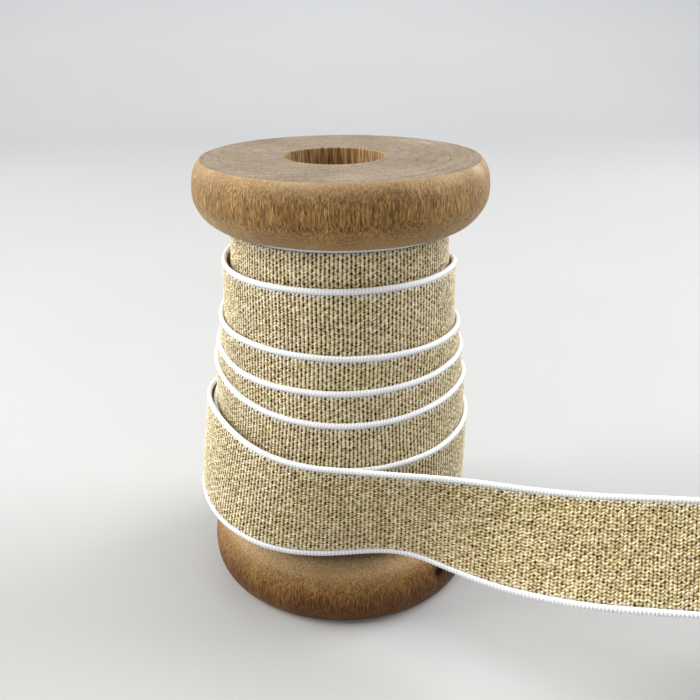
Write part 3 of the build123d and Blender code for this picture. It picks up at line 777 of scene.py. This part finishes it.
def end_grain(mat, raw, x, y):
    """Flat faces: colour, brightness, dark specks and pores."""
    # growth rings: arcs about a pith away from the spool's axis
    wander = mat.noise(raw, stretch=(40, 40, 8), detail=3.0, rough=0.55)
    from_pith = mat.length(mat.combine(mat.plus(x, 0.009), mat.minus(y, 0.006)))
    ring = mat.plus(mat.times(from_pith, by=400.0), mat.times(wander, by=1.8))
    ring = mat.math("ABSOLUTE", mat.minus(mat.math("FRACT", ring), 0.5))
    ring = mat.math("POWER", mat.fade(ring, between=(0.0, 0.5)), 2.0)
    # faint rings left by the turning tool, stronger towards the rim
    from_axis = mat.length(mat.combine(x, y))
    turned = mat.noise(mat.combine(from_axis), stretch=(1500, 1, 1), detail=2.0, rough=0.6)
    turned_amount = mat.fade(from_axis, between=(0.012, 0.021), to=(0.12, 0.55))
    pores = mat.noise(raw, stretch=(2600, 2600, 2600), detail=2.0, rough=0.65)
    cloud = mat.noise(raw, stretch=(90, 90, 90), detail=4.0, rough=0.6)
    dark_speck = mat.fade(mat.noise(raw, stretch=(3300, 2300, 3300), shift=(5, 2, 1),
                                    detail=1.0, rough=0.5), between=(0.56, 0.70))
    light_speck = mat.fade(mat.noise(raw, stretch=(3000, 2100, 3000), shift=(2, 8, 4),
                                     detail=1.0, rough=0.5), between=(0.56, 0.70))
    value = mat.plus(mat.times(ring, by=-0.07), mat.times(cloud, by=0.50))
    value = mat.plus(value, mat.swing(turned, by=turned_amount))
    value = mat.fade(mat.plus(value, mat.times(pores, by=0.62)), between=(0.30, 0.74))
    # from dark grain to light
    color = mat.ramp(value, [(0.0, (0.090, 0.062, 0.036)), (0.35, (0.150, 0.111, 0.073)),
                             (0.62, (0.195, 0.150, 0.103)), (1.0, (0.275, 0.222, 0.158))])
    color = mat.mix(mat.times(dark_speck, by=0.60), color, over=(0.110, 0.072, 0.038))
    color = mat.mix(mat.times(light_speck, by=0.45), color, over=(0.32, 0.26, 0.185))
    return color, value, dark_speck, pores


def wood_material():
    """Bare turned hardwood: end grain on the faces, streaks along z on the turned sides."""
    mat = Shader("turned_wood")
    raw = mat.coords()
    x, y, z = mat.xyz(raw)
    upright = mat.math("ABSOLUTE", mat.xyz(mat.attr("turned_normal", output="Vector"))[2])
    face = mat.fade(upright, between=(0.90, 0.995))      # 1 on the flat end faces
    slope = mat.fade(upright, between=(0.25, 0.85))      # 1 where the turning cuts the fibres
    side, side_value, streak, fine = side_grain(mat, raw, slope)
    end, end_value, speck, pores = end_grain(mat, raw, x, y)
    color = mat.mix(face, side, end)
    # the arris and the shoulder beside it are lighter: a broad band of burnished wear and painted
    # light, and a painted highlight along the arris itself
    wear = mat.attr("wear")
    color = mat.mix(mat.times(wear, by=0.30), color, over=(0.46, 0.33, 0.185))
    color = mat.mix(mat.times(mat.math("POWER", wear, 5.0), by=0.75), color,
                    over=(0.60, 0.465, 0.305))
    # painted shade: the foot is darkened, patchily, as if in shadow
    painted_foot_shade = mat.fade(z, between=(0.0035, 0.0095), to=(1.0, 0.0))
    patchy = mat.noise(raw, stretch=(60, 60, 60), shift=(1, 2, 3), detail=3.0, rough=0.6)
    color = mat.mix(mat.times(painted_foot_shade, by=mat.fade(patchy, between=(0.3, 0.7), to=(0.78, 1.0))),
                    color, over=mat.tint(color, by=(0.41, 0.255, 0.085)))
    # painted shade, stronger on the foot's right side
    painted_right_shade = mat.times(mat.fade(x, between=(0.004, 0.020)),
                     by=mat.fade(z, between=(0.0085, 0.0125), to=(1.0, 0.0)))
    color = mat.mix(mat.times(painted_right_shade, by=0.8), color,
                    over=mat.tint(color, by=(0.58, 0.48, 0.34)))
    # painted light: a lighter band round the top of the bottom flange, as where light from above
    # falls, with the grain showing through
    painted_shoulder_light = mat.times(mat.fade(z, between=(0.0085, 0.0105)),
                         by=mat.fade(z, between=(0.0135, 0.0145), to=(1.0, 0.0)))
    grain = mat.plus(mat.times(fine, by=0.5), mat.times(pores, by=0.5))
    painted_shoulder_color = mat.mix(mat.fade(grain, between=(0.38, 0.62)),
                     base=(0.30, 0.185, 0.075), over=(0.78, 0.56, 0.31))
    color = mat.mix(mat.times(painted_shoulder_light, by=0.66), color, painted_shoulder_color)
    dark = mat.attr("dark")
    color = mat.mix(dark, color, over=(0.016, 0.007, 0.003))
    # torn fibres inside the bore
    rays = mat.noise(raw, stretch=(2700, 2700, 150), shift=(4, 4, 4), detail=3.0, rough=0.6)
    inside = mat.ramp(rays, [(0.38, (0.060, 0.026, 0.006)), (0.48, (0.20, 0.105, 0.034)),
                             (0.62, (0.44, 0.285, 0.13))])
    color = mat.mix(mat.times(mat.attr("bore"), by=0.75), color, inside)
    side_height = mat.minus(side_value, mat.times(streak, by=0.8))
    height = mat.plus(mat.times(side_height, by=mat.minus(1.0, face)),
                      mat.times(mat.minus(end_value, speck), by=mat.times(face, by=0.5)))
    sheen = mat.times(mat.fade(face, to=(0.30, 0.0)),
                      by=mat.fade(z, between=(0.03, 0.05), to=(0.10, 1.0)))
    return mat.surface(color=color, rough=mat.fade(side_value, to=(0.66, 0.50)),
                       normal=mat.bump(height, strength=0.6, distance=0.00012),
                       spec=mat.fade(dark, to=(0.22, 0.0)),
                       sheen=sheen, sheen_rough=0.35, sheen_tint=(1.0, 0.85, 0.62))


def tape_material():
    """Cream paper tape with fine level creases."""
    mat = Shader("paper_tape")
    crepe = mat.noise(mat.coords(), stretch=(300, 300, 2400), detail=3.0, rough=0.6)
    color = mat.ramp(crepe, [(0.3, (0.66, 0.58, 0.42)), (0.7, (0.80, 0.74, 0.58))])
    return mat.surface(color=color, rough=0.75, spec=0.3,
                       normal=mat.bump(crepe, strength=0.4, distance=0.0001))


def floor_material():
    """Pale grey that glows softly towards the back."""
    mat = Shader("pale_floor")
    coords = mat.coords()
    mottle = mat.noise(coords, stretch=(6, 6, 6), detail=3.0, rough=0.5)
    color = mat.ramp(mottle, [(0.3, (0.385, 0.382, 0.378)), (0.7, (0.405, 0.402, 0.398))])
    far = mat.fade(mat.xyz(coords)[1], between=(0.15, 0.75))
    return mat.surface(color=color, rough=0.6, spec=0.2, glow_color=(0.90, 0.93, 0.97),
                       glow=mat.times(mat.math("POWER", far, 1.2), by=0.34))


GOLD = gold_material()
WHITE = cord_material()
WOOD = wood_material()
TAPE = tape_material()

# ---------------------------------------------------------------------------
# Spool body: turned profile with fine tool marks, softened arrises and small dents
# ---------------------------------------------------------------------------
BODY_SEGMENTS = 480
# dents in the turned sides: (degrees from +X, height, radius, depth, darkening)
DENTS = [(-45.3, 6.1, 1.50, 0.50, 1.0), (-49.5, 6.9, 0.9, 0.08, 0.40),
         (-60.0, 6.0, 1.1, 0.05, 0.15), (200.0, 72.0, 1.4, 0.06, 0.1),
         (140.0, 5.0, 0.9, 0.07, 0.2), (40.0, 73.5, 0.8, 0.06, 0.15)]
# dents in the top face: (x, y, radius, depth)
FACE_DENTS = [(-16.0, -6.0, 0.5, 0.05), (14.0, 9.0, 0.35, 0.05), (3.0, -18.0, 0.4, 0.04)]


def hermite(start, end, start_dir, end_dir, count):
    """Points of a curve from start to end that leaves and arrives along the two directions."""
    start, end, start_dir, end_dir = (np.array(q, float) for q in (start, end, start_dir, end_dir))
    reach = np.linalg.norm(end - start)
    start_dir = start_dir / np.linalg.norm(start_dir) * reach
    end_dir = end_dir / np.linalg.norm(end_dir) * reach
    u = np.linspace(0, 1, count)[:, None]
    points = (2 * u ** 3 - 3 * u ** 2 + 1) * start + (u ** 3 - 2 * u ** 2 + u) * start_dir \
        + (-2 * u ** 3 + 3 * u ** 2) * end + (u ** 3 - u ** 2) * end_dir
    return [tuple(point) for point in points]


def half_profile(face_rows, under_rows):
    """One flange from the bore's mouth, over face and rim, to the barrel: (radius, depth)."""
    quarter = np.pi / 2
    mouth = [(BORE_R + MOUTH_R * (1 - math.cos(a)), MOUTH_R * (1 - math.sin(a)))
             for a in np.linspace(0, quarter, 5)]
    face = [(r, 0.0) for r in np.linspace(BORE_R + MOUTH_R, FACE_R - 0.22, face_rows)[1:]]
    arris = [(FACE_R - 0.08, 0.02), (FACE_R + 0.03, 0.07), (FACE_R + 0.12, 0.17)]
    widest = (FLANGE_R, RIM_DEPTH)
    rim = hermite(arris[-1], widest, (0.72, 0.70), (0, 1), 30)[1:]
    under = hermite(widest, (INNER_R, FLANGE_T), (0, 1), (-1, 0.08), under_rows)[1:]
    flat = [(r, FLANGE_T) for r in np.linspace(INNER_R, BARREL_R + FILLET, 4)[1:]]
    fillet = [(BARREL_R + FILLET * (1 - math.sin(a)), FLANGE_T + FILLET * (1 - math.cos(a)))
              for a in np.linspace(0, quarter, 4)[1:]]
    return mouth + face + arris + rim + under + flat + fillet


def body_profile():
    """Closed outline (radius, z); the foot's face gets fewer rows than the top one."""
    bottom = half_profile(face_rows=11, under_rows=30)
    top = [(r, SPOOL_H - d) for r, d in half_profile(face_rows=39, under_rows=26)][::-1]
    ends = FLANGE_T + FILLET
    barrel = [(BARREL_R, z) for z in np.linspace(ends, SPOOL_H - ends, 6)[1:-1]]
    bore = [(BORE_R, z) for z in np.linspace(SPOOL_H - MOUTH_R, MOUTH_R, 16)[1:-1]]
    return np.array(bottom + barrel + top + bore)


def spool_mesh():
    profile = body_profile()
    radius, height = profile.T
    n = len(profile)
    shape = (BODY_SEGMENTS, n)
    A = np.repeat((np.arange(BODY_SEGMENTS) / BODY_SEGMENTS * 2 * np.pi)[:, None], n, 1)
    Z = np.repeat(height[None, :], BODY_SEGMENTS, 0)
    tangent = np.roll(profile, -1, 0) - np.roll(profile, 1, 0)
    normal = np.stack([tangent[:, 1], -tangent[:, 0]], -1)
    normal /= np.linalg.norm(normal, axis=1)[:, None]
    normal_r, normal_z = normal[None, :, 0], normal[None, :, 1]
    is_bore = radius < BORE_R + 0.30
    is_face = (np.abs(normal[:, 1]) > 0.95) & ((height < 0.1) | (height > SPOOL_H - 0.1))
    depth = np.minimum(height, SPOOL_H - height)
    # the bore is drilled about its own axis, the rest is turned about TURN_X
    axis_x = np.where(is_bore, 0.0, TURN_X)
    blend = np.clip((radius - (BORE_R + MOUTH_R)) / (13.0 - BORE_R), 0, 1)
    axis_x = np.where(is_face, TURN_X * blend, axis_x)
    X = axis_x[None, :] + radius[None, :] * np.cos(A)
    Y = radius[None, :] * np.sin(A)
    P = np.stack([X, Y, Z], -1)
    points = P.reshape(-1, 3)
    # raised grain in two sizes, a soft unevenness, and tool rings on the faces
    grain = smooth_noise(points * [2.4, 2.4, 0.28], 1.0, 41) * 0.5 \
        + smooth_noise(points * [5.0, 5.0, 0.5], 1.0, 42) * 0.35
    soft = smooth_noise(points * 0.16, 1.0, 43)
    rings = np.sin(radius * 9.0 + 1.3) * np.where(is_face, 1, 0)
    grain_height = np.where(is_face, 0.012, 0.030)
    grain_height = np.where(depth > FLANGE_T + 0.2, 0.02, grain_height)
    lift = grain.reshape(shape) * grain_height[None, :] \
        + soft.reshape(shape) * np.where(is_bore, 0.0, 0.05)[None, :] + 0.006 * rings[None, :]
    lift = lift - 0.03
    dark = np.zeros(shape)
    for degrees, dent_z, dent_r, deep, darkening in DENTS:
        round_by = np.angle(np.exp(1j * (A - math.radians(degrees)))) * radius[None, :]
        weight = np.exp(-((round_by / dent_r) ** 2 + ((Z - dent_z) / (dent_r * 0.75)) ** 2)) \
            * (radius[None, :] > 17) * (np.abs(normal_z) < 0.97)
        lift -= deep * weight
        dark = np.maximum(dark, darkening * np.clip(weight * 1.35, 0, 1))
    for dent_x, dent_y, dent_r, deep in FACE_DENTS:
        weight = np.exp(-(((X - dent_x) ** 2 + (Y - dent_y) ** 2) / dent_r ** 2)) \
            * (Z > SPOOL_H - 0.3)
        lift -= deep * weight
    P = P + np.stack([normal_r * np.cos(A) * lift, normal_r * np.sin(A) * lift,
                      normal_z * lift], -1)
    # both rims are lighter towards their face, patchily: worn wood and painted light, with a painted
    # highlight near the arris
    rim = (depth < RIM_DEPTH) & (~is_face) & (~is_bore) & (radius > 20)
    wear = np.where(rim, np.clip(1 - depth / 4.2, 0, 1) ** 1.2, 0.0)
    wear = wear[None, :] * (0.75 + 0.5 * smooth_noise(points * 0.3, 1.0, 44).reshape(shape))
    turned_normal = np.stack([normal_r * np.cos(A), normal_r * np.sin(A), normal_z + 0 * A], -1)
    return make_mesh(
        "turned_spool", P.reshape(-1, 3), [grid_faces(*shape, wrap_u=True, wrap_v=True)],
        attributes={"wear": np.clip(wear, 0, 1).ravel(), "dark": np.clip(dark, 0, 1).ravel(),
                    "bore": np.tile(is_bore.astype(float), BODY_SEGMENTS),
                    "turned_normal": turned_normal.reshape(-1, 3)})


place_on_root(spool_mesh(), WOOD, "wood", "spool_body")

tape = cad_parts["anchor_tape"]
tape.data.materials.clear()
tape.data.materials.append(TAPE)

# ---------------------------------------------------------------------------
# Wound ribbon: a hidden start turn and seven laps, one band piece per lap, cut at the back
# ---------------------------------------------------------------------------
PEEL_COLUMN = round(column_at_arc(arc_at_station(19.0)))   # the last that rides on the root
CUTS = [0] + [round(column_at_arc(arc_at_angle(FIRST_LAP - 180.0 + 360.0 * k)))
              for k in range(7)] + [PEEL_COLUMN]
# (name, half rows sampled finely)
LAPS = [("start_turn", 20), ("lap_1", 26), ("lap_2", 28), ("lap_3", 24), ("lap_4", 20),
        ("lap_5", 24), ("lap_6", ROWS), ("lap_7", ROWS)]
for k, (lap, fine_rows) in enumerate(LAPS):
    band = band_piece("ribbon_" + lap, CUTS[k], CUTS[k + 1], fine_rows=fine_rows)
    place_on_root(band, GOLD, "gold_ribbon", *([] if k else ["wound_band"]))

CORD_START = 0.3
CORD_END = float(arc_at_column(PEEL_COLUMN))
LOWER_RIB = 0.10
for side, rib, seed in (("upper", 0.038, 31), ("lower", LOWER_RIB, 61)):
    cord = cord_piece(f"wound_{side}_cord", CORD_START, CORD_END, rib=rib, seed=seed,
                      lower=side == "lower")
    place_on_root(cord, WHITE, "white_edge", f"wound_{side}_edge")

# ---------------------------------------------------------------------------
# Free tail: three stretches, one to each hinge; the joints lie about midway between hinges
# ---------------------------------------------------------------------------
MID_COLUMN = round(column_at_arc(arc_at_station(0.5 * (PEEL + BEND_MID) + 0.6)))
END_COLUMN = round(column_at_arc(arc_at_station(0.5 * (BEND_MID + BEND_END))))
LAST_COLUMN = int(math.floor(COLUMNS[-1])) - 1
BEND_REACH = 3.2          # stations over which a bend fades in, to each side of its hinge


# (name, first column, last column, bone before, bone after, bend's first and last station)
STRETCHES = [
    ("peel", PEEL_COLUMN, MID_COLUMN, "root", "tail_root", PEEL - 0.5, PEEL + 4.2),
    ("middle", MID_COLUMN, END_COLUMN, "tail_root", "tail_mid",
     BEND_MID - BEND_REACH, BEND_MID + BEND_REACH),
    ("end", END_COLUMN, LAST_COLUMN, "tail_mid", "tail_end",
     BEND_END - BEND_REACH, BEND_END + BEND_REACH),
]
for stretch, first, last, before, after, bend_start, bend_end in STRETCHES:
    pieces = [(band_piece("tail_" + stretch, first, last, both_sides=True),
               GOLD, "gold_ribbon", after + "_band")]
    for side, rib, seed in (("upper", 0.042, 31), ("lower", LOWER_RIB, 71)):
        cord = cord_piece(f"tail_{stretch}_{side}_cord", float(arc_at_column(first)),
                          float(arc_at_column(last)), rib=rib, seed=seed, lower=side == "lower")
        pieces.append((cord, WHITE, "white_edge", f"{after}_{side}_edge"))
    for piece, material, slot, replaced in pieces:
        piece.data.materials.append(material)
        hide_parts(replaced)
        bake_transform(piece)

# ---------------------------------------------------------------------------
# Hidden coils: closed turned solid, with the lowest coil's weave and white edge where they show
# ---------------------------------------------------------------------------
# outline (radius, z)
COIL = [(16.05, 12.5), (17.3, 11.6), (19.6, 11.5), (20.5, 12.8), (22.2, 14.0), (22.62, 14.9),
        (22.70, 16.2), (22.25, 21.0), (22.15, 25.6), (21.65, 26.6), (21.55, 29.0), (21.05, 31.4),
        (20.35, 42.6), (19.2, 48.2), (18.4, 49.0), (17.25, 66.5), (16.8, 66.5), (16.05, 65.6)]
COIL_COLUMNS = 220
WOVEN_BOTTOM, WOVEN_TOP, WOVEN_MIN_R = 14.8, 21.5, 20     # where the weave shows
COIL_ROW_TOP, COIL_ROW_H = 66.0, 0.463                    # height of half row 0, and their pitch


def coil_mesh():
    outline = []
    for (r0, z0), (r1, z1) in zip(COIL, COIL[1:]):
        parts = 1
        if WOVEN_BOTTOM <= z0 < 20.9 and r0 > WOVEN_MIN_R:
            parts = max(2, int(abs(z1 - z0) / 0.16))
        for i in range(parts):
            outline.append((r0 + (r1 - r0) * i / parts, z0 + (z1 - z0) * i / parts))
    outline.append(COIL[-1])
    radius, height = np.array(outline).T
    n = len(outline)
    segments = COIL_COLUMNS * 4
    A = (np.arange(segments) / segments * 2 * np.pi)[:, None]
    C = np.repeat((np.arange(segments) / 4.0)[:, None], n, 1)
    R = np.repeat(((COIL_ROW_TOP - height) / COIL_ROW_H)[None, :], segments, 0)
    woven = (height > WOVEN_BOTTOM) & (height < WOVEN_TOP) & (radius > WOVEN_MIN_R)
    relief, tone = weave(C, R)
    relief = relief * woven.astype(float)[None, :]
    r = radius[None, :] + 0.20 * relief - 0.05
    # the inner wall follows the barrel's axis
    axis_x = np.where(radius < 17.0, TURN_X, PACK_X)[None, :]
    z = np.repeat(height[None, :], segments, 0)
    P = np.stack([axis_x + r * np.cos(A), r * np.sin(A), z], -1)
    return make_mesh("inner_coils", P.reshape(-1, 3),
                     [grid_faces(segments, n, wrap_u=True, wrap_v=True)], uv=flat_uv(C, R),
                     attributes={"bead": relief.ravel(), "tone": tone.ravel()})


place_on_root(coil_mesh(), GOLD, "gold_ribbon", "inner_winding")
place_on_root(ring_cord("inner_coil_edge", radius=22.55, height=14.35, rib=0.06),
              WHITE, "white_edge")

# ---------------------------------------------------------------------------
# Floor, backdrop, light and camera
# ---------------------------------------------------------------------------
FLOOR_FRONT, FLOOR_BACK, FLOOR_HALF_W = -900.0, 550.0, 1600.0
SWEEP_R, BACKDROP_TOP = 350.0, 1600.0


def stage_floor():
    """Pale floor that curves up into a backdrop."""
    profile = [(FLOOR_FRONT, 0.0), (FLOOR_BACK, 0.0)]
    for a in np.linspace(0, np.pi / 2, 17)[1:]:
        profile.append((FLOOR_BACK + SWEEP_R * math.sin(a), SWEEP_R * (1 - math.cos(a))))
    profile.append((FLOOR_BACK + SWEEP_R, BACKDROP_TOP))
    verts = [(x, y, z) for x in (-FLOOR_HALF_W, FLOOR_HALF_W) for y, z in profile]
    n = len(profile)
    faces = np.array([[i, n + i, n + i + 1, i + 1] for i in range(n - 1)])
    piece = make_mesh("floor", verts, [faces])
    piece.data.materials.append(floor_material())
    return piece


stage_floor()


def area_light(name, place, target, size, power, color=(1, 1, 1)):
    """Rectangular light of size (width, height) aimed at target."""
    data = bpy.data.lights.new(name, "AREA")
    data.energy = power
    data.color = color
    data.shape = "RECTANGLE"
    data.size, data.size_y = size
    light = bpy.data.objects.new(name, data)
    bpy.context.scene.collection.objects.link(light)
    light.location = place
    light.rotation_euler = (Vector(target) - Vector(place)).to_track_quat("-Z", "Y").to_euler()


area_light("key_left", place=(-0.55, 0.05, 0.40), target=(0, 0, 0.045), size=(0.42, 0.40),
           power=6.2, color=(1.0, 0.99, 0.97))
area_light("back_right", place=(0.50, 0.18, 0.40), target=(0, 0, 0.04), size=(0.42, 0.40),
           power=4.9, color=(0.97, 0.985, 1.0))
area_light("top_soft", place=(0.0, 0.04, 0.55), target=(0, 0, 0.03), size=(0.36, 0.36),
           power=1.7)
area_light("front_fill", place=(-0.14, -0.58, 0.30), target=(-0.01, 0, 0.045), size=(0.5, 0.5),
           power=1.30, color=(1.0, 0.98, 0.95))

world = bpy.data.worlds.new("studio")
bpy.context.scene.world = world
world.use_nodes = True
background = world.node_tree.nodes["Background"]
background.inputs["Color"].default_value = (0.80, 0.84, 0.88, 1.0)
background.inputs["Strength"].default_value = 0.27

CAMERA_PLACE = (0.00246, -0.14519, 0.10235)
CAMERA_PITCH, CAMERA_ROLL = math.radians(22.396), math.radians(-0.227)   # pitch is downwards

cam_data = bpy.data.cameras.new("camera")
cam_data.sensor_width = 36.0
cam_data.lens = 43.4674286
cam_data.clip_start = 0.01
cam_data.clip_end = 20.0
cam = bpy.data.objects.new("camera", cam_data)
bpy.context.scene.collection.objects.link(cam)
cam.location = CAMERA_PLACE
ahead = Vector((0, math.cos(CAMERA_PITCH), -math.sin(CAMERA_PITCH)))
level_up = Vector((0, math.sin(CAMERA_PITCH), math.cos(CAMERA_PITCH)))
level_right = Vector((1, 0, 0))
cam_right = level_right * math.cos(CAMERA_ROLL) + level_up * math.sin(CAMERA_ROLL)
cam_up = -level_right * math.sin(CAMERA_ROLL) + level_up * math.cos(CAMERA_ROLL)
cam.rotation_mode = "QUATERNION"
cam.rotation_quaternion = Matrix((cam_right, cam_up, -ahead)).transposed().to_quaternion()
bpy.context.scene.camera = cam
bpy.context.scene.view_settings.view_transform = "Standard"
bpy.context.scene.view_settings.look = "None"
